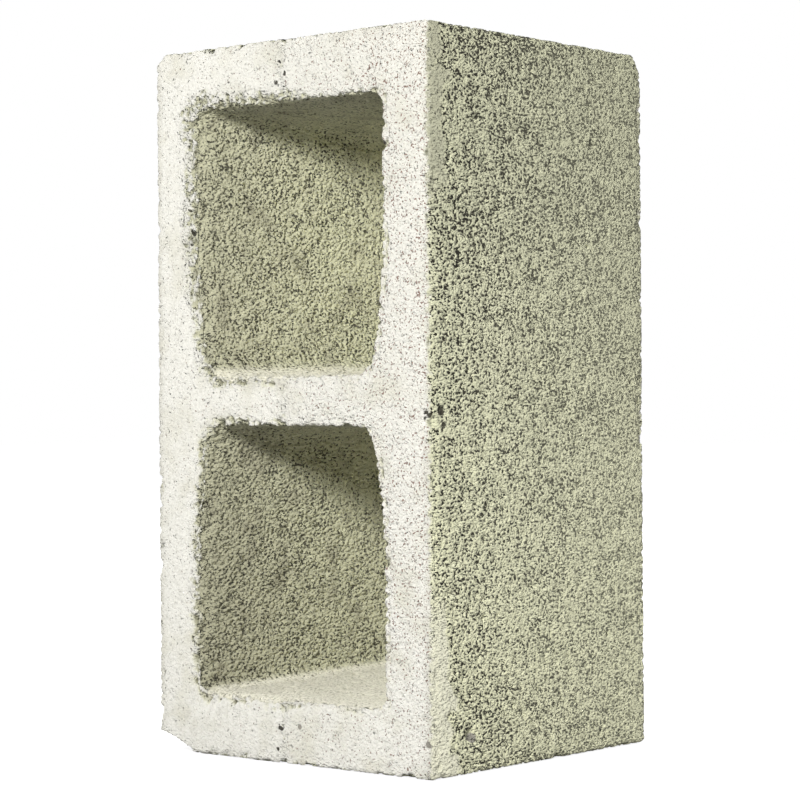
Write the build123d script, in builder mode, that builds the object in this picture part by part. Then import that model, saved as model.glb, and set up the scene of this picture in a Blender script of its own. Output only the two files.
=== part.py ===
"""Two-core hollow concrete block, standing on one end.

The block is one piece of dry-mixed concrete, pressed in a steel mould around two core bars and stripped
at once. It stands as it would on a floor: Z runs along its length, X across its width (the thickness of
the wall it is laid in) and Y along the cores. The wide mouths of the tapered cores are on the -Y face.
The origin is the middle of the end that it stands on. Millimetres.
"""

import os

from build123d import *

# Outside of the block
block_length = 390.0  # along Z: a 400 module less a 10 mm joint
block_width = 200.0  # along X
block_height = 190.0  # along Y, as laid: a 200 module less a 10 mm joint
arris_radius = 3.0  # outer edges, rounded by the mould's wear and by handling

# Walls, measured on the -Y face, where the cores are widest
end_web = 35.0
centre_web = 28.0
face_shell = 33.0  # beside the end webs
face_shell_at_centre = 42.0  # where the shell thickens towards the centre web

# Cores
core_draft = 4.0  # how far each core wall leans in from the -Y face to the +Y face
shell_straight = 62.0  # straight length of face shell next to an end web, on the -Y face
end_corner_radius = 7.0
centre_corner_radius = 14.0
mouth_radius = 2.5  # edges round the cores' mouths

mid_length = block_length / 2
front_face = Plane.XZ.offset(block_height / 2)
back_face = Plane.XZ.offset(-block_height / 2)


def core_section(face, inset):
    """Upper core's section on a face of the block, with every wall moved in by inset.

    The core is pear-shaped: each side runs straight down from the end web, then bends in along an arc,
    so that the face shells are thickest at the centre web.
    """
    top = block_length - end_web - inset
    bottom = mid_length + centre_web / 2 + inset
    bend_start = block_length - end_web - shell_straight
    half_top = block_width / 2 - face_shell - inset
    half_bottom = block_width / 2 - face_shell_at_centre - inset

    with BuildSketch(face) as section:
        with BuildLine():
            top_edge = Line((0, top), (half_top, top))
            side = Line(top_edge @ 1, (half_top, bend_start))
            bend = TangentArc(side @ 1, (half_bottom, bottom), tangent=(0, -1))
            Line(bend @ 1, (0, bottom))
            mirror(about=Plane.YZ)
        make_face()
        rows = section.vertices().group_by(Axis.Y)
        fillet([corner for corner in rows[-1] if abs(corner.X) > 1], end_corner_radius)
        rows = section.vertices().group_by(Axis.Y)
        fillet([corner for corner in rows[0] if abs(corner.X) > 1], centre_corner_radius)
    return section.sketch


# The core bar for the upper core, which tapers so that it can be drawn out of the fresh concrete
with BuildPart() as upper_core:
    loft([core_section(front_face, 0), core_section(back_face, core_draft)])

with BuildPart() as concrete_block:
    Box(block_width, block_height, block_length, align=(Align.CENTER, Align.CENTER, Align.MIN))
    fillet(concrete_block.edges(), arris_radius)
    add(upper_core.part, mode=Mode.SUBTRACT)
    add(mirror(upper_core.part, about=Plane.XY.offset(mid_length), mode=Mode.PRIVATE), mode=Mode.SUBTRACT)
    mouths = [wire for face in concrete_block.faces().filter_by(Axis.Y) for wire in face.inner_wires()]
    fillet([edge for wire in mouths for edge in wire.edges()], mouth_radius)

concrete_block.part.label = "concrete_block"

os.makedirs("parts", exist_ok=True)
export_step(concrete_block.part, "parts/concrete_block.step")

box = concrete_block.part.bounding_box()
litres = concrete_block.part.volume / 1e6
print(f"concrete_block: {box.size.X:.1f} x {box.size.Y:.1f} x {box.size.Z:.1f} mm, {litres:.2f} litres")
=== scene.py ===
# %% [markdown]
# # A hollow concrete block, standing on its end
#
# The block is one casting: dry concrete pressed in a steel mould around two tapered cores. Its exact form
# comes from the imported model. This lesson gives it the surface that the real one has: open grain on the
# moulded faces, a paler and closer skin on the two cored faces, crumbled edges, and a few knocks.

import math
import random
from functools import reduce

import bmesh
import bpy
import numpy as np
from mathutils import Matrix, Vector


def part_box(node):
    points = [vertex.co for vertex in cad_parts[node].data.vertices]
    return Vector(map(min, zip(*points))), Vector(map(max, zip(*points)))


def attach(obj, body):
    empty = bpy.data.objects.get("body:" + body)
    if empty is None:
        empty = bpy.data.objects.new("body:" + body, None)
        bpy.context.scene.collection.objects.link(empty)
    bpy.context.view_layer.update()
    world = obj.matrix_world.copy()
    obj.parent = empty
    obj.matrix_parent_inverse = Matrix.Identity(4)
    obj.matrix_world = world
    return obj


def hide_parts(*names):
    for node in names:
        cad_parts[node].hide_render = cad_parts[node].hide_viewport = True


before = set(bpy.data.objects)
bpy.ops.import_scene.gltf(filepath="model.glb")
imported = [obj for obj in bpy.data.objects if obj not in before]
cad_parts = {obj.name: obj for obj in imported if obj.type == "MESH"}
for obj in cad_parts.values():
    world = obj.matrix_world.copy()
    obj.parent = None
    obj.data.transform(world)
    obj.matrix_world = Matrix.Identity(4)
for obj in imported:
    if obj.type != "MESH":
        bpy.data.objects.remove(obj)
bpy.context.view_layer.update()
low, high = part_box("concrete_block")
MM = 0.001
width, depth, height = (high - low) / MM
half_width, half_depth = width / 2, depth / 2
print(f"block {width:.0f} x {depth:.0f} x {height:.0f} mm")

# %% [markdown]
# ## The camera
#
# The lens, the place and the slight roll come from fitting the block's straight edges. A long lens about
# 1.3 m away looks at the near vertical arris from half height, so the verticals stay nearly upright.

# %% Camera
IMAGE_PIXELS = 800
FOCAL_PIXELS = 2526.0
camera_place = Vector((0.9239, -1.0843, 0.19245))
camera_turn = math.radians(40.473)
camera_pitch = math.radians(0.112)
camera_roll = math.radians(-0.376)

camera_data = bpy.data.cameras.new("camera")
camera_data.sensor_width = 36.0
camera_data.lens = FOCAL_PIXELS / IMAGE_PIXELS * camera_data.sensor_width
camera_data.clip_start = 0.1
camera = bpy.data.objects.new("camera", camera_data)
camera.matrix_world = (
    Matrix.Translation(camera_place)
    @ Matrix.Rotation(camera_turn, 4, "Z")
    @ Matrix.Rotation(math.pi / 2 + camera_pitch, 4, "X")
    @ Matrix.Rotation(camera_roll, 4, "Z")
)
bpy.context.collection.objects.link(camera)
bpy.context.scene.camera = camera
print(f"lens {camera_data.lens:.1f} mm")

# %% [markdown]
# ## Sums written as Python
#
# Node trees are easier to read when their arithmetic looks like arithmetic. A `Wire` holds one output
# socket: adding, multiplying or comparing wires adds Math nodes, and `add` makes any other node. The same
# class serves the geometry trees that shape the surface and the shader that colours it.


# %% A socket that does sums
class Wire:
    """One output socket of a node tree, with arithmetic that adds Math nodes."""

    def __init__(self, socket):
        self.socket = socket

    def add(self, kind, settings=None, inputs=None, out=0):
        tree = self.socket.id_data
        node = tree.nodes.new(kind)
        for name, value in (settings or {}).items():
            setattr(node, name, value)
        for key, value in (inputs or {}).items():
            if isinstance(value, Wire):
                tree.links.new(value.socket, node.inputs[key])
            else:
                node.inputs[key].default_value = value
        return Wire(node.outputs[out])

    def math(self, operation, *values):
        return self.add("ShaderNodeMath", {"operation": operation}, dict(enumerate(values)))

    def vector(self, operation, *values, out=0):
        return self.add("ShaderNodeVectorMath", {"operation": operation}, dict(enumerate(values)), out)

    def __add__(self, other):
        return self.math("ADD", self, other)

    def __radd__(self, other):
        return self.math("ADD", other, self)

    def __sub__(self, other):
        return self.math("SUBTRACT", self, other)

    def __rsub__(self, other):
        return self.math("SUBTRACT", other, self)

    def __mul__(self, other):
        return self.math("MULTIPLY", self, other)

    def __rmul__(self, other):
        return self.math("MULTIPLY", other, self)

    def __truediv__(self, other):
        return self.math("DIVIDE", self, other)

    def __rtruediv__(self, other):
        return self.math("DIVIDE", other, self)

    def __abs__(self):
        return self.math("ABSOLUTE", self)

    def most(self, other):
        return self.math("MAXIMUM", self, other)

    def least(self, other):
        return self.math("MINIMUM", self, other)

    def rise(self, start, end):
        """0 up to start, 1 from end, and a smooth step between them. End may be the lower."""
        ends = {0: self, 1: start, 2: end, 3: 0.0, 4: 1.0}
        return self.add("ShaderNodeMapRange", {"interpolation_type": "SMOOTHSTEP"}, ends)

    def scaled(self, factor):
        return self.add("ShaderNodeVectorMath", {"operation": "SCALE"}, {0: self, "Scale": factor})

    def axes(self):
        split = self.add("ShaderNodeSeparateXYZ", None, {0: self}).socket.node
        return [Wire(split.outputs[axis]) for axis in range(3)]

    def noise(self, size, detail=1.0, out=0):
        """Soft noise from 0 to 1 at this place, with lumps about size across."""
        fields = {"Vector": self, "Scale": 1 / size, "Detail": detail}
        return self.add("ShaderNodeTexNoise", None, fields, out)


# %% [markdown]
# ## Knocks and broken corners
#
# Handling has broken the lower left corner of the cored face, worn others and bitten small pits out of
# edges and faces. They could be sculpted, but a clean way to break a solid is to cut rough lumps out of it
# with a Boolean. So each knock or pit is a lumpy ball, given by its middle and radius, that reaches a little
# way into the concrete. A few pebbles that were laid bare are made the same way and joined on.

# %% Lumps to cut away and to join on
KNOCKS = [
    # middle x, y, z and radius, in mm
    (-102.5, -100.0, -34.8, 45.0),  # broken corner below the lower core
    (-102.0, -95.0, 22.0, 5.0),
    (-110.0, -105.0, 400.5, 22.0),  # worn top corner above the upper core
    (112.0, -106.0, 402.0, 20.5),  # nearest top corner
    (112.0, 107.0, 394.0, 22.0),  # far top corner
    (107.0, 103.0, 190.0, 11.0),  # dent in the far arris
    (101.5, -63.5, 20.0, 4.6),  # hole left by a pebble
    (101.0, -68.5, 37.5, 2.8),
    (97.5, -96.0, 16.5, 2.6),
    (-60.0, -97.0, 352.0, 6.0),  # notch in the upper core's mouth
]
PITS = [
    # small deep holes, given in the same way
    (99.4, -95.2, 184.8, 3.4),  # on the near arris
    (96.6, -95.2, 188.8, 1.6),
    (100.2, -92.2, 183.0, 1.8),
    (100.2, -85.6, 189.7, 2.6),
    (100.2, -84.1, 182.0, 1.7),
    (-4.0, -95.2, 376.3, 1.5),  # along the bar's mark, high
    (-0.4, -95.2, 370.6, 1.1),
    (-6.3, -95.2, 365.8, 1.1),
    (-0.5, -95.2, 362.6, 1.3),
    (-12.0, -95.2, 28.8, 1.7),  # along the bar's mark, low
    (-5.7, -95.2, 20.0, 1.8),
    (6.1, -95.2, 32.7, 1.6),
    (-8.5, -95.2, 8.0, 1.0),
    (-64.5, -94.8, 349.5, 2.8),  # in the upper core's mouth
    (-66.5, -94.8, 343.5, 2.8),
    (-67.5, -94.8, 331.5, 2.6),
    (-68.5, -94.8, 324.5, 2.0),
    (-70.0, -95.2, 288.5, 2.0),
    (-70.0, -95.2, 283.5, 2.4),
    (68.3, -94.8, 327.0, 2.4),
]
PEBBLES = [
    (96.4, -61.0, 18.6, 3.0),
    (7.8, -93.5, 21.1, 1.4),
    (96.6, -92.6, 19.0, 1.8),
]
LUMPINESS = 0.16
WAVES = 5  # on each ball
dice = random.Random(7)


def lumpy_balls(name, balls):
    """One mesh object of lumpy balls, each given by its middle and radius in mm."""
    shape = bmesh.new()
    for *middle, radius in balls:
        ball = bmesh.ops.create_icosphere(shape, subdivisions=3, radius=radius * MM)["verts"]
        waves = [(Vector([dice.uniform(-1, 1) for _ in range(3)]), dice.uniform(2, 5)) for _ in range(WAVES)]
        for vertex in ball:
            way = vertex.co.normalized()
            lump = sum(math.sin(rate * way.dot(axis) + rate) for axis, rate in waves) / WAVES
            vertex.co = vertex.co * (1 + LUMPINESS * lump) + Vector(middle) * MM
    mesh = bpy.data.meshes.new(name)
    shape.to_mesh(mesh)
    shape.free()
    made = bpy.data.objects.new(name, mesh)
    bpy.context.collection.objects.link(made)
    print(f"{name}: {len(balls)} balls, {len(mesh.polygons)} faces")
    return made


knocks = lumpy_balls("knocks", KNOCKS + PITS)
pebbles = lumpy_balls("pebbles", PEBBLES)

# %% [markdown]
# ## A sound copy of the moulded form
#
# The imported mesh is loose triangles, a few of them very long. A Boolean needs a closed solid, so a copy of
# it has its doubled points merged. The copy is also what each place's distance from an edge is measured to.

# %% Copy and merge the moulded form
SAME_PLACE = 0.001 * MM

moulded_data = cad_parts["concrete_block"].data.copy()
moulded_data.name = "moulded_form"
merged = bmesh.new()
merged.from_mesh(moulded_data)
bmesh.ops.remove_doubles(merged, verts=merged.verts, dist=SAME_PLACE)
open_edges = sum(not edge.is_manifold for edge in merged.edges)
merged.to_mesh(moulded_data)
merged.free()
moulded_data.materials.clear()
moulded = bpy.data.objects.new("moulded_form", moulded_data)
bpy.context.collection.objects.link(moulded)
print(f"moulded form: {len(moulded_data.polygons)} faces, {open_edges} open edges")

# %% [markdown]
# ## Trees with named inputs
#
# Two geometry trees follow. Each takes the skin to work on, the moulded form to measure from, and sizes in
# millimetres, and each ends by realizing its geometry and giving it the concrete material. The helpers here
# open, close and use such a tree, and find the moulded form's rounded edges by their slanting faces.

# %% Helpers for geometry trees
concrete = bpy.data.materials.new("concrete")
RIM = 4.0  # an arris lies within this many mm of the outside
ROUND_NORMAL, ROUND_SPREAD = 0.57, 0.42  # a rounded edge's normals lie between those of its two faces


def new_tree(name, inputs):
    """An empty geometry tree, its inputs by name, and the moulded form as geometry."""
    tree = bpy.data.node_groups.new(name, "GeometryNodeTree")
    tree.interface.new_socket("Geometry", in_out="INPUT", socket_type="NodeSocketGeometry")
    tree.interface.new_socket("Moulded Form", in_out="INPUT", socket_type="NodeSocketObject")
    for label in inputs:
        tree.interface.new_socket(label, in_out="INPUT", socket_type="NodeSocketFloat")
    tree.interface.new_socket("Geometry", in_out="OUTPUT", socket_type="NodeSocketGeometry")
    source = tree.nodes.new("NodeGroupInput")
    given = {socket.name: Wire(socket) for socket in source.outputs if socket.name}
    original = {"transform_space": "ORIGINAL"}
    form = given["Geometry"].add("GeometryNodeObjectInfo", original, {0: given["Moulded Form"]}, "Geometry")
    return tree, given, form


def close_tree(tree, geometry):
    """Realizes and paints the geometry and sends it out."""
    real = geometry.add("GeometryNodeRealizeInstances", None, {0: geometry})
    painted = real.add("GeometryNodeSetMaterial", None, {"Geometry": real, "Material": concrete})
    end = tree.nodes.new("NodeGroupOutput")
    tree.links.new(painted.socket, end.inputs[0])
    print(f"{tree.name}: {len(tree.nodes)} nodes")


def use_tree(target, tree, values):
    """Adds the tree to an object, with its inputs set by identifier."""
    modifier = target.modifiers.new(tree.name, "NODES")
    modifier.node_group = tree
    for item in tree.interface.items_tree:
        if item.in_out == "INPUT" and item.name in values:
            modifier[item.identifier] = values[item.name]


def place_in_mm(wire):
    return wire.add("GeometryNodeInputPosition").scaled(1 / MM)


def rounded_faces(form, at_mouths):
    """The moulded form's rounded edges: those round the cores' mouths, or the outer arrises."""
    x, _, z = place_in_mm(form).axes()
    normal_y, normal_z = (abs(part) for part in form.add("GeometryNodeInputNormal").axes()[1:])
    slanted = normal_y.math("COMPARE", normal_y, ROUND_NORMAL, ROUND_SPREAD)
    at_corner = normal_z.math("COMPARE", normal_z, ROUND_NORMAL, ROUND_SPREAD)
    from_outside = (half_width - abs(x)).least(z).least(height - z)
    outer = from_outside.math("LESS_THAN", from_outside, RIM)
    chosen = slanted * (1 - outer) if at_mouths else outer * slanted.most(at_corner)
    picked = {"Geometry": form, "Selection": chosen}
    return form.add("GeometryNodeSeparateGeometry", {"domain": "FACE"}, picked)


def distance_to(faces):
    """How far each place is from these faces, in mm."""
    found = faces.add("GeometryNodeProximity", {"target_element": "FACES"}, {0: faces}, "Distance")
    return found / MM


def evened_out(value, steps, kind="FLOAT"):
    """A value averaged with its neighbours on the mesh, this many times over."""
    averaged = {"Value": value, "Iterations": steps}
    return value.add("GeometryNodeBlurAttribute", {"data_type": kind}, averaged)


BAR_LINE_X = -4.0
BAR_LINE_SWAY = 9.0
MOUTH_SPREAD = 12.0


def on_bar_line(spot):
    """1 on the rough line that the bar between the cores leaves across the webs of the front face."""
    x, y, _ = spot.axes()
    sway = spot.noise(14.0, 2.0) - 0.5
    off_line = abs(x - BAR_LINE_X + sway * BAR_LINE_SWAY)
    return off_line.rise(4.5, 1.0) * (0 - y).rise(half_depth - 6.0, half_depth - 2.0)


def rough_by_mouth(spot, to_mouth):
    """1 by the mouths on the cored faces, where the skin has crumbled: widest at the left, near the top."""
    x, _, z = spot.axes()
    spread = (spot.noise(9.0, 2.0) - 0.5) * MOUTH_SPREAD
    return (to_mouth + x * 0.1 + (height - z) * 0.025 + spread).rise(7.0, 0.0)


# %% [markdown]
# ## The relief, as a geometry tree
#
# Pressed dry concrete keeps the shape of its grains: the mould touches only their tops, so everything lies
# at or below the moulded face and the relief is a depth to push in. The tree adds up several depths, each
# with its own named input: slow waves, lumps, open holes, crumbled and chipped edges, worn mouths, and the
# line that the bar leaves. It could be sculpted by hand, but a rule covers all sides alike and can be turned
# up or down.

# %% The relief tree
RELIEF_INPUTS = {
    "Wave Depth": 0.35,
    "Lump Depth": 0.45,
    "Hole Size": 4.2,
    "Hole Depth": 1.5,
    "Crumble Width": 5.0,
    "Crumble Depth": 1.2,
    "Jagged Share": 1.3,
    "Chip Depth": 2.2,
    "Mouth Wear Width": 11.0,
    "Mouth Wear Depth": 3.0,
    "Bar Mark Depth": 1.4,
    "Cored Face Share": 0.2,
    "Seed": 3.0,
}

relief, given, form = new_tree("open_grain", RELIEF_INPUTS)
skin = given["Geometry"]
spot = place_in_mm(skin)
seeded = spot.vector("ADD", spot, given["Seed"])
x, y, _ = spot.axes()
to_mouth = distance_to(rounded_faces(form, True))
to_arris = distance_to(rounded_faces(form, False))
near_edge = to_arris.least(to_mouth).rise(given["Crumble Width"], 0.0)
near_right_mouth = to_mouth.rise(given["Crumble Width"], 0.0) * x.rise(20.0, 60.0)
worn_side = to_mouth.rise(given["Mouth Wear Width"], 0.0) * x.rise(30.0, -45.0)
cored = abs(y).rise(half_depth - 4.0, half_depth - 1.0)
closed = cored * (1 - rough_by_mouth(spot, to_mouth))
share = 1 - closed * (1 - given["Cored Face Share"])
crowding = seeded.noise(11.0, 2.0) - 0.5

wave = seeded.noise(42.0, 2.0) * given["Wave Depth"]
lump = seeded.noise(7.0, 2.0) * given["Lump Depth"] * share
open_place = (seeded.noise(given["Hole Size"], 1.0) + crowding * 0.15).rise(0.61, 0.75)
hole = open_place * given["Hole Depth"] * share
jagged = near_edge + near_right_mouth * given["Jagged Share"]
crumble = seeded.noise(3.2, 1.0).rise(0.42, 0.72) * jagged * given["Crumble Depth"]
chip = seeded.noise(10.0, 1.0).rise(0.58, 0.74) * near_edge * given["Chip Depth"]
wear = seeded.noise(5.0, 2.0).rise(0.40, 0.64) * worn_side * given["Mouth Wear Depth"]
bar_mark = on_bar_line(spot) * seeded.noise(4.0, 1.0).rise(0.38, 0.62) * given["Bar Mark Depth"]
push = wave + lump + hole + crumble + chip + wear + bar_mark

soft_normal = evened_out(skin.add("GeometryNodeInputNormal"), 5, "FLOAT_VECTOR")
way_in = soft_normal.vector("NORMALIZE", soft_normal)
moved = {"Geometry": skin, "Offset": way_in.scaled(push * -MM)}
carved = skin.add("GeometryNodeSetPosition", None, moved)
close_tree(relief, carved)

# %% [markdown]
# ## Marks that the finish reads
#
# The shader has to know where holes are, so that they can hold painted shade, and where the mouths, the
# bar's line and the up-facing ledges lie, which are painted pale with dust and painted light. A second tree
# measures those on the carved skin and stores each as a named attribute. The shader could guess them from
# coordinates, but measuring follows the real form. The moulded form's own direction is stored too, for the
# layout below.

# %% The marks tree
marks, given, form = new_tree("surface_marks", {})
skin = given["Geometry"]
spot = place_in_mm(skin)
from_top = height - spot.axes()[2]
form_normal = {"Mesh": form, "Value": form.add("GeometryNodeInputNormal")}
sunk = distance_to(form)
nearest = form.add("GeometryNodeSampleNearestSurface", {"data_type": "FLOAT_VECTOR"}, form_normal)
faces_up = nearest.axes()[2].rise(0.5, 0.95) * from_top.rise(10.0, 20.0)
for label, value in {
    "cavity": sunk - evened_out(sunk, 12),
    "to_mouth": distance_to(rounded_faces(form, True)),
    "bar_line": on_bar_line(spot),
    "ledge": faces_up,
}.items():
    stored = {"Geometry": skin, "Name": label, "Value": value}
    skin = skin.add("GeometryNodeStoreNamedAttribute", {"data_type": "FLOAT", "domain": "POINT"}, stored)
stored = {"Geometry": skin, "Name": "form_normal", "Value": nearest}
skin = skin.add("GeometryNodeStoreNamedAttribute", {"data_type": "FLOAT_VECTOR", "domain": "POINT"}, stored)
close_tree(marks, skin)

# %% [markdown]
# ## Carving the block
#
# The copy is cut by the knocks and joined to the pebbles, and a voxel remesh lays an even net of small
# faces over it. The relief tree pushes that net in, a Decimate thins it to a size that is easy to handle,
# keeping faces where the shape turns, and the marks tree measures the result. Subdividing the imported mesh
# would be another way to small faces, but its long triangles would give an uneven net.

# %% Carve
VOXEL = 1.25 * MM
MOST_TRIANGLES = 198000

work = bpy.data.objects.new("carving", moulded_data.copy())
bpy.context.collection.objects.link(work)
for tool, operation in ((knocks, "DIFFERENCE"), (pebbles, "UNION")):
    change = work.modifiers.new(tool.name, "BOOLEAN")
    change.object, change.operation, change.solver = tool, operation, "MANIFOLD"
net = work.modifiers.new("net", "REMESH")
net.mode, net.voxel_size = "VOXEL", VOXEL
use_tree(work, relief, {**RELIEF_INPUTS, "Moulded Form": moulded})


def evaluated_mesh(target, name):
    shown = target.evaluated_get(bpy.context.evaluated_depsgraph_get())
    mesh = bpy.data.meshes.new_from_object(shown)
    mesh.name = name
    triangles = sum(len(face.vertices) - 2 for face in mesh.polygons)
    print(f"{name}: {triangles} triangles")
    return mesh, triangles


fine_mesh, fine_triangles = evaluated_mesh(work, "fine_skin")
thin = work.modifiers.new("thin", "DECIMATE")
thin.ratio = MOST_TRIANGLES / fine_triangles
thin.use_collapse_triangulate = True
use_tree(work, marks, {"Moulded Form": moulded})
block_mesh, _ = evaluated_mesh(work, "block_skin")

for helper in (work, knocks, pebbles, moulded):
    bpy.data.objects.remove(helper)
bpy.data.meshes.remove(fine_mesh)

block = bpy.data.objects.new("block_skin", block_mesh)
bpy.context.collection.objects.link(block)
block_mesh.materials.clear()
block_mesh.materials.append(concrete)
block_mesh.shade_smooth()

# %% [markdown]
# ## A flat layout of the skin
#
# A bake needs the skin laid out flat. An automatic unwrap would break this rough skin into thousands of
# scraps, so each side of the block and each wall of the cores is laid down whole instead: a face goes to
# the side that its part of the moulded form belongs to, and is seen straight on.

# %% Lay the skin out
SHEET = 2 * height  # the layout is a square of this many mm, with the four tall sides in its lowest row
SHRINK = 0.985
MARGIN = 1.0
LEDGE_SCALE = 0.72
LEDGE_HALF = 0.69 * half_width
WALL_IN = 12.0  # the cores' walls lie further than this from the outside, in mm
CORE_LOW = (30.0, 204.0)  # below each core, in mm


def numbers(source, name, kind, across):
    found = np.empty(len(source) * across, kind)
    source.foreach_get(name, found)
    return found.reshape(-1, across)


faces = numbers(block_mesh.polygons, "vertices", np.int32, 3)
corners = numbers(block_mesh.vertices, "co", np.float32, 3)[faces] / MM
facing = numbers(block_mesh.attributes["form_normal"].data, "vector", np.float32, 3)[faces].mean(axis=1)
middle = corners.mean(axis=1)
main_axis = np.abs(facing).argmax(axis=1)
positive = facing[np.arange(len(faces)), main_axis] > 0
from_end = np.minimum(middle[:, 2], height - middle[:, 2])
from_outside = np.minimum(half_width - np.abs(middle[:, 0]), from_end)
in_core = (from_outside > WALL_IN) & (main_axis != 1)
layout = np.zeros((len(faces), 3, 2), np.float32)


def lay(chosen, axes, lowest, slot, scale=1.0):
    """Lays the chosen faces down along two axes, from a lowest place to a slot of the sheet."""
    flat = corners[chosen][:, :, axes] - lowest
    layout[chosen] = (np.array(slot) + flat * scale * SHRINK + MARGIN) / SHEET


for side in (0, 1):
    chosen = positive == bool(side)
    lay(chosen & (main_axis == 1), (0, 2), (-half_width, 0), (side * width, 0))
    lay(chosen & (main_axis == 0) & ~in_core, (1, 2), (-half_depth, 0), (2 * width + side * depth, 0))
    lay(chosen & (main_axis == 2) & ~in_core, (0, 1), (-half_width, -half_depth), (side * width, height))
    for core, below in enumerate(CORE_LOW):
        here = chosen & in_core & ((middle[:, 2] > height / 2) == bool(core))
        row = (2 * width, height) if core else (0, height + depth)
        lay(here & (main_axis == 0), (2, 1), (below, -half_depth), (row[0] + side * depth, row[1]))
        ledge_slot = (2 * depth + (2 * core + side) * width / 2, height + depth)
        lay(here & (main_axis == 2), (0, 1), (-LEDGE_HALF, -half_depth), ledge_slot, LEDGE_SCALE)

flat_map = block_mesh.uv_layers.new(name="OFBake")
flat_map.uv.foreach_set("vector", layout.ravel())
block_mesh.attributes.remove(block_mesh.attributes["form_normal"])
print(f"layout from {layout.min():.3f} to {layout.max():.3f}, {in_core.sum()} faces in the cores")

# %% [markdown]
# ## Concrete, as a material
#
# Two looks share one casting. The moulded faces and the cores show the sand itself: a dull yellow-grey,
# with painted shade in the gaps between the grains. The cored faces were struck off and are covered by a
# pale skin of fine cement, which has crumbled by the mouths and worn off along the near arris. A closed
# strip runs down that arris near both ends. A painted image could show all this, but fields worked out from
# the place on the block cover every side and never blur. The first cell finds where each look lies.

# %% Where each look lies
DRAG = 1.5  # pulling the mould off draws the grain out along the depth
JITTER_SIZE, JITTER = 1.7, 0.7
SKIN_FADE = (half_depth - 3.6, half_depth - 1.2)
SKIN_EDGE = (0.5, 3.0)  # the skin stops short of the near arris
STRIP_EDGE = (15.0, 9.0)
STRIP_ENDS = (90.0, 125.0)  # from half height
ARRIS_FADE = (8.0, 1.0)
WALL_FADE = (WALL_IN, 20.0)

concrete.use_nodes = True
finish = concrete.node_tree
finish.nodes.clear()
object_place = Wire(finish.nodes.new("ShaderNodeTexCoord").outputs["Object"])
spot = object_place.scaled(1 / MM)
x, y, z = spot.axes()


def blend(factor, first, second):
    """A colour or a wire of colours, mixed with another."""
    return spot.add("ShaderNodeMix", {"data_type": "RGBA"}, {0: factor, 6: first, 7: second}, 2)


def mark(name):
    """A number that the marks tree stored on the skin."""
    return spot.add("ShaderNodeAttribute", {"attribute_name": name}, None, "Fac")


dragged = spot.vector("MULTIPLY", spot, (1, 1 / DRAG, 1))
jitter = dragged.vector("SUBTRACT", dragged.noise(JITTER_SIZE, 0.0, 1), (0.5, 0.5, 0.5))
ragged = dragged.vector("ADD", dragged, jitter.scaled(JITTER))
crowding = dragged.noise(8.0, 2.0) + dragged.noise(36.0, 1.0) * 0.4 - 0.7
wobble = spot.noise(3.0) - 0.5
ledge = mark("ledge")

by_the_mouth = rough_by_mouth(spot, mark("to_mouth"))
rough = by_the_mouth.most(mark("bar_line") * 0.7)
skin_left = abs(y) + wobble * (by_the_mouth * 5.0 + 2.6) - by_the_mouth * 0.9
cored = skin_left.rise(*SKIN_FADE) * (half_width - x + wobble * 5.0).rise(*SKIN_EDGE)
on_side = abs(x).rise(half_width - 8.0, half_width - 5.0) * (1 - cored)
patchy = spot.noise(14.0, 1.0) - 0.5
from_front = y + half_depth + wobble * 8.0 + patchy * 30.0 - z.rise(110.0, 20.0) * 9.0
strip = from_front.rise(*STRIP_EDGE) * abs(z - height / 2).rise(*STRIP_ENDS) * on_side
arris = (half_width - abs(x) + wobble * 8.0).rise(*ARRIS_FADE)
closed = (cored * (1 - rough * 0.55)).most(strip * 0.85).most(ledge * 0.8)
inner = (half_width - abs(x)).least(z).least(height - z).rise(*WALL_FADE) * (1 - cored)

# %% [markdown]
# ## Grains, gaps, specks and pits
#
# Sand of about a millimetre leaves gaps where it is lowest: raising or lowering a level in one noise opens
# or closes them, so the same field gives tight skin and open grain, and the gaps are painted dark as shade.
# The brown specks are sand that shows through the skin, most of them high up and by the long arrises. The
# pits repeat the places of the balls that were cut away, with uneven rims, and are painted dark inside as
# shade.

# %% Grains, gaps, specks and pits
SAND_SIZE, GRAVEL_SIZE, CELL_SIZE, SPECK_SIZE = 1.25, 3.4, 2.0, 1.1
GAP_LEVEL = 0.455
PIT_RIM = 1.25  # shade reaches this many radii from a pit's middle
UNEVENNESS = 2.4

sand = ragged.noise(SAND_SIZE, 1.0)
cells = {"Vector": ragged, "Scale": 1 / CELL_SIZE}
between = spot.add("ShaderNodeTexVoronoi", {"feature": "F1"}, cells, "Distance")
gravel = ragged.noise(GRAVEL_SIZE, 2.0)
open_end = z.rise(150.0, height) * y.rise(half_depth, -half_depth) * (1 - inner)
opening = (crowding * 0.24 + open_end * 0.03) * (1 - closed * 0.6)
gap_depth = (GAP_LEVEL - closed * 0.15 - inner * 0.02 + opening - sand).most(0.0)
# painted shade: the gaps between grains, the holes and the measured hollows found here are painted dark
# below
gap_shade = gap_depth.rise(0.02, 0.08)
hole = (gravel - crowding * 0.10).rise(0.32, 0.26) * (1 - closed)
hole = hole.most(mark("cavity").rise(0.8, 1.8) * 0.5)
speck_level = crowding * 0.08 + x * 0.0006 + arris * 0.03 - z.rise(160.0, 0.0) * 0.03
speck = (ragged.noise(SPECK_SIZE, 1.0) + speck_level).rise(0.655, 0.72) * cored * (1 - rough)

half_uneven = (UNEVENNESS / 2, UNEVENNESS / 2, UNEVENNESS / 2)
uneven = spot.vector("ADD", spot, spot.noise(2.0, 1.0, 1).scaled(UNEVENNESS))
uneven = uneven.vector("SUBTRACT", uneven, half_uneven)


def inside_pit(middle, radius):
    """1 in a pit, with an uneven rim."""
    return uneven.vector("DISTANCE", uneven, middle, out="Value").rise(radius * PIT_RIM, radius)


pit = reduce(Wire.most, [inside_pit(middle, radius) for *middle, radius in PITS])
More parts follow.
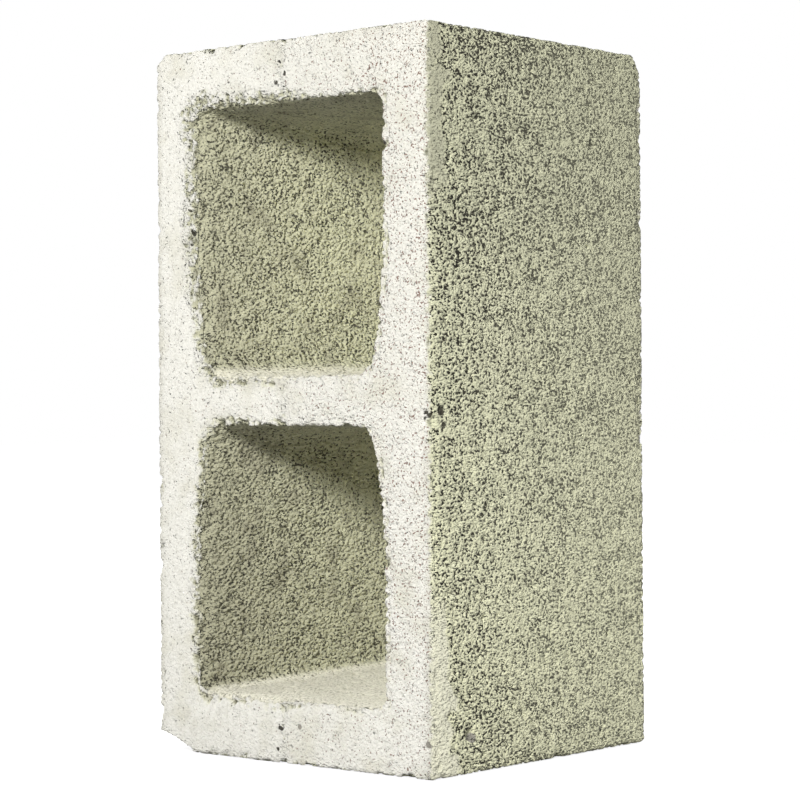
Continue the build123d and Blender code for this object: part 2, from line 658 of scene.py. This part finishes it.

# %% [markdown]
# ## Colours
#
# Each look is mixed from few colours. The open grain is sand and paste, in the cores dirty in patches,
# painted darker as shade towards the front mouths and darker in the lower core; it is painted pale on the
# cores' floors with dust and painted light, and painted darker towards the top as shade on the outer faces,
# the strip on the plain side too. The pale skin is stained in broad patches, worn at random and along the
# near arris, painted darker towards the top and right as shade, and specked. Gaps, holes and pits come last,
# painted dark as shade in either look, and then the bare pebbles.

# %% Colours of the finish
GRAIN_COLOUR = (0.875, 0.87, 0.63, 1)
PASTE_COLOUR = (0.80, 0.795, 0.57, 1)
GAP_SHADE_COLOUR = (0.04, 0.036, 0.025, 1)
SKIN_COLOUR = (0.90, 0.885, 0.82, 1)
SKIN_STAIN = (0.80, 0.78, 0.68, 1)
SKIN_WEAR_AND_SHADE = (0.70, 0.685, 0.61, 1)
SPECK_COLOUR = (0.28, 0.19, 0.15, 1)
DIRT_AND_SHADE_COLOUR = (0.44, 0.42, 0.30, 1)
TOP_SHADE_COLOUR = (0.54, 0.54, 0.38, 1)
STRIP_LOW = (0.79, 0.775, 0.63, 1)
STRIP_HIGH_SHADED = (0.44, 0.435, 0.32, 1)
DUST_AND_LIGHT_COLOUR = (0.98, 0.95, 0.82, 1)
PEBBLE_COLOUR = (0.36, 0.34, 0.29, 1)

moulded_colour = blend(ragged.noise(4.0, 2.0).rise(0.35, 0.65), PASTE_COLOUR, GRAIN_COLOUR)
# painted shade and dirt: the cores' walls are painted darker towards the front mouths, standing in for the
# light that reaches their deep part, darker in the lower core, and dirty in patches
shade_and_dirt_level = y.rise(20.0, -half_depth) * 0.4 + z.rise(260.0, 60.0) * 0.2 + 0.06
dirt_and_shade = (spot.noise(22.0, 3.0).rise(0.52, 0.72) * 0.4 + shade_and_dirt_level) * inner
moulded_colour = blend(dirt_and_shade, moulded_colour, DIRT_AND_SHADE_COLOUR)
# painted light: the cores' up-facing floors are painted near white, dust and painted light together, darker
# where the sand is low
dust_and_light_colour = blend(sand.rise(0.52, 0.30) * 0.75, DUST_AND_LIGHT_COLOUR, DIRT_AND_SHADE_COLOUR)
moulded_colour = blend(ledge * 0.9, moulded_colour, dust_and_light_colour)
# painted shade: the outer moulded faces are painted darker towards the top
top_shade = z.rise(20.0, 400.0) * (1 - inner) * 0.75
moulded_colour = blend(top_shade, moulded_colour, TOP_SHADE_COLOUR)
# painted shade: the strip is painted darker towards the top
strip_colour_shaded_high = blend(z.rise(60.0, 330.0), STRIP_LOW, STRIP_HIGH_SHADED)
moulded_colour = blend(strip * 0.9, moulded_colour, strip_colour_shaded_high)

stain = spot.noise(24.0, 3.0).rise(0.45, 0.72)
pale_skin = blend(stain, SKIN_COLOUR, SKIN_STAIN)
# painted shade: the pale skin is painted darker towards the top and the right; the rest of this mask is wear
# at random and along the near arris
top_right_shade = z.rise(0.0, height) * x.rise(-half_width * 1.5, half_width) * 0.5
wear_and_shade = top_right_shade.most(ragged.noise(1.6, 1.0).rise(0.5, 0.3) * 0.5).most(arris * 0.8)
pale_skin = blend(wear_and_shade, pale_skin, SKIN_WEAR_AND_SHADE)
pale_skin = blend(speck * 0.95, pale_skin, SPECK_COLOUR)

colour = blend(cored, moulded_colour, pale_skin)
# painted shade: gaps, holes and pits are painted dark, less so on closed skin, in rough zones, on the cores'
# walls and ledges, and towards the far end
far = y.rise(-half_depth, half_depth) * 0.44
less_gap_shade = closed * 0.4 + rough * cored * 0.45 + inner * 0.2 + far * (1 - inner)
gap_shade_strength = (1.0 - less_gap_shade) * (1 - ledge * 0.6)
colour = blend((gap_shade.most(hole) * gap_shade_strength).most(pit * 0.95), colour, GAP_SHADE_COLOUR)
for *middle, radius in PEBBLES:
    from_pebble = spot.vector("DISTANCE", spot, middle, out="Value")
    colour = blend(from_pebble.rise(radius + 0.7, radius + 0.3), colour, PEBBLE_COLOUR)

# %% [markdown]
# ## Fine relief and the shader
#
# Relief under about two millimetres is finer than the skin's faces, so it is bump here, from the same fields
# that give the colour: sand and gravel stand up, and gaps sink. Dry concrete is very matt.

# %% Relief and shader
SAND_RELIEF = 4.4
CELL_RELIEF = 2.8
GAP_RELIEF = 11.0

grainy_side = x.rise(-70.0, 40.0) * z.rise(-40.0, 160.0) * closed * (1 - inner)
sand_height = SAND_RELIEF - closed * 2.8 + grainy_side * 1.2 - inner * 2.6 + ledge * 1.9
grains = sand * sand_height + (gravel - between * inner * CELL_RELIEF) * (1 - closed)
grain_height = grains - gap_depth * (GAP_RELIEF - inner * 3.0)
bump = spot.add("ShaderNodeBump", None, {"Strength": 1.0, "Distance": MM, "Height": grain_height})
matt = {"Roughness": 0.92, "Diffuse Roughness": 0.8, "Specular IOR Level": 0.25}
body = spot.add("ShaderNodeBsdfPrincipled", None, {**matt, "Base Color": colour, "Normal": bump})
surface = finish.nodes.new("ShaderNodeOutputMaterial")
finish.links.new(body.socket, surface.inputs["Surface"])
print(f"concrete: {len(finish.nodes)} nodes")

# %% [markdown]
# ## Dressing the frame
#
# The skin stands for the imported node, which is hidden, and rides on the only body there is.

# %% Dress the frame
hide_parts("concrete_block")
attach(block, "root")

# %% [markdown]
# ## The studio
#
# The block stands on a pale floor under a white sky. What the camera sees of the floor is lifted towards
# white by light that only camera, glossy and transmission rays meet, so the floor keeps the block's shadow.
# A white floor under strong lamps would do the same, but would throw too much light up into the cores.

# %% Floor and sky
FLOOR_HALF = 9.0
FLOOR_GREY = 0.4
FLOOR_LIFT = 0.86
FLOOR_FADE = (0.5, 2.5)
AMBIENT = 0.02


def seen_rays(tree):
    """1 for the rays that show the background: straight, mirrored or through glass."""
    path = tree.nodes.new("ShaderNodeLightPath")
    straight, glossy, through = (
        Wire(path.outputs[f"Is {kind} Ray"]) for kind in ("Camera", "Glossy", "Transmission")
    )
    return straight.most(glossy).most(through)


floor_mesh = bpy.data.meshes.new("floor")
corner = Vector((FLOOR_HALF, FLOOR_HALF, 0))
corners = [Matrix.Rotation(math.pi / 2 * turn, 3, "Z") @ corner for turn in range(4)]
floor_mesh.from_pydata(corners, [], [range(4)])
floor = bpy.data.objects.new("floor", floor_mesh)
bpy.context.collection.objects.link(floor)
floor_paint = bpy.data.materials.new("floor")
floor_paint.use_nodes = True
floor_tree = floor_paint.node_tree
floor_tree.nodes.clear()
seen = seen_rays(floor_tree)
matt = seen.add("ShaderNodeBsdfDiffuse", None, {"Color": (FLOOR_GREY, FLOOR_GREY, FLOOR_GREY, 1)})
floor_place = Wire(floor_tree.nodes.new("ShaderNodeTexCoord").outputs["Object"])
far_off = floor_place.vector("LENGTH", floor_place, out="Value").rise(*FLOOR_FADE)
near_lift = (FLOOR_LIFT, FLOOR_LIFT, FLOOR_LIFT, 1)
lifts = {0: far_off, 6: near_lift, 7: (1, 1, 1, 1)}
lift_colour = seen.add("ShaderNodeMix", {"data_type": "RGBA"}, lifts, 2)
lift = seen.add("ShaderNodeEmission", None, {"Color": lift_colour, "Strength": seen})
both = seen.add("ShaderNodeAddShader", None, {0: matt, 1: lift})
floor_end = floor_tree.nodes.new("ShaderNodeOutputMaterial")
floor_tree.links.new(both.socket, floor_end.inputs["Surface"])
floor_mesh.materials.append(floor_paint)

world = bpy.data.worlds.new("studio")
bpy.context.scene.world = world
world.use_nodes = True
sky = world.node_tree.nodes["Background"]
sky.inputs["Color"].default_value = (1, 1, 1, 1)
strength = seen_rays(world.node_tree) * (1 - AMBIENT) + AMBIENT
world.node_tree.links.new(strength.socket, sky.inputs["Strength"])

# %% [markdown]
# ## Lamps
#
# The key is small and near, low in front of the cored face, so its shadows fan out in the cores. Broad soft
# lamps at the right, the front left, the left and the back give every other side enough light to be read.

# %% Lamps
LAMPS = {
    # turn from the front towards the right and elevation in degrees, distance and size in m, power in W
    "key": (32.0, 16.2, 1.2, 0.2, 11.6),
    "right": (95.0, 15.0, 3.0, 1.5, 24.0),
    "fill": (310.0, 20.0, 3.0, 1.5, 15.0),
    "back": (222.0, 42.0, 3.0, 1.0, 75.0),
    "left": (275.0, 20.0, 3.0, 1.5, 16.0),
}
aim = Vector((0, 0, height / 2 * MM))
for name, (turn, elevation, away, size, power) in LAMPS.items():
    lamp_data = bpy.data.lights.new(name, "AREA")
    lamp_data.shape, lamp_data.size, lamp_data.energy = "DISK", size, power
    lamp = bpy.data.objects.new(name, lamp_data)
    bpy.context.collection.objects.link(lamp)
    lamp.visible_camera = False
    turned = Matrix.Rotation(math.radians(turn), 3, "Z") @ Matrix.Rotation(math.radians(-elevation), 3, "X")
    place = aim + turned @ Vector((0, -away, 0))
    facing = (place - aim).to_track_quat("Z", "Y").to_matrix().to_4x4()
    lamp.matrix_world = Matrix.Translation(place) @ facing
    print(f"{name} lamp at {place.x:.2f}, {place.y:.2f}, {place.z:.2f} m")

bpy.context.scene.view_settings.view_transform = "Standard"
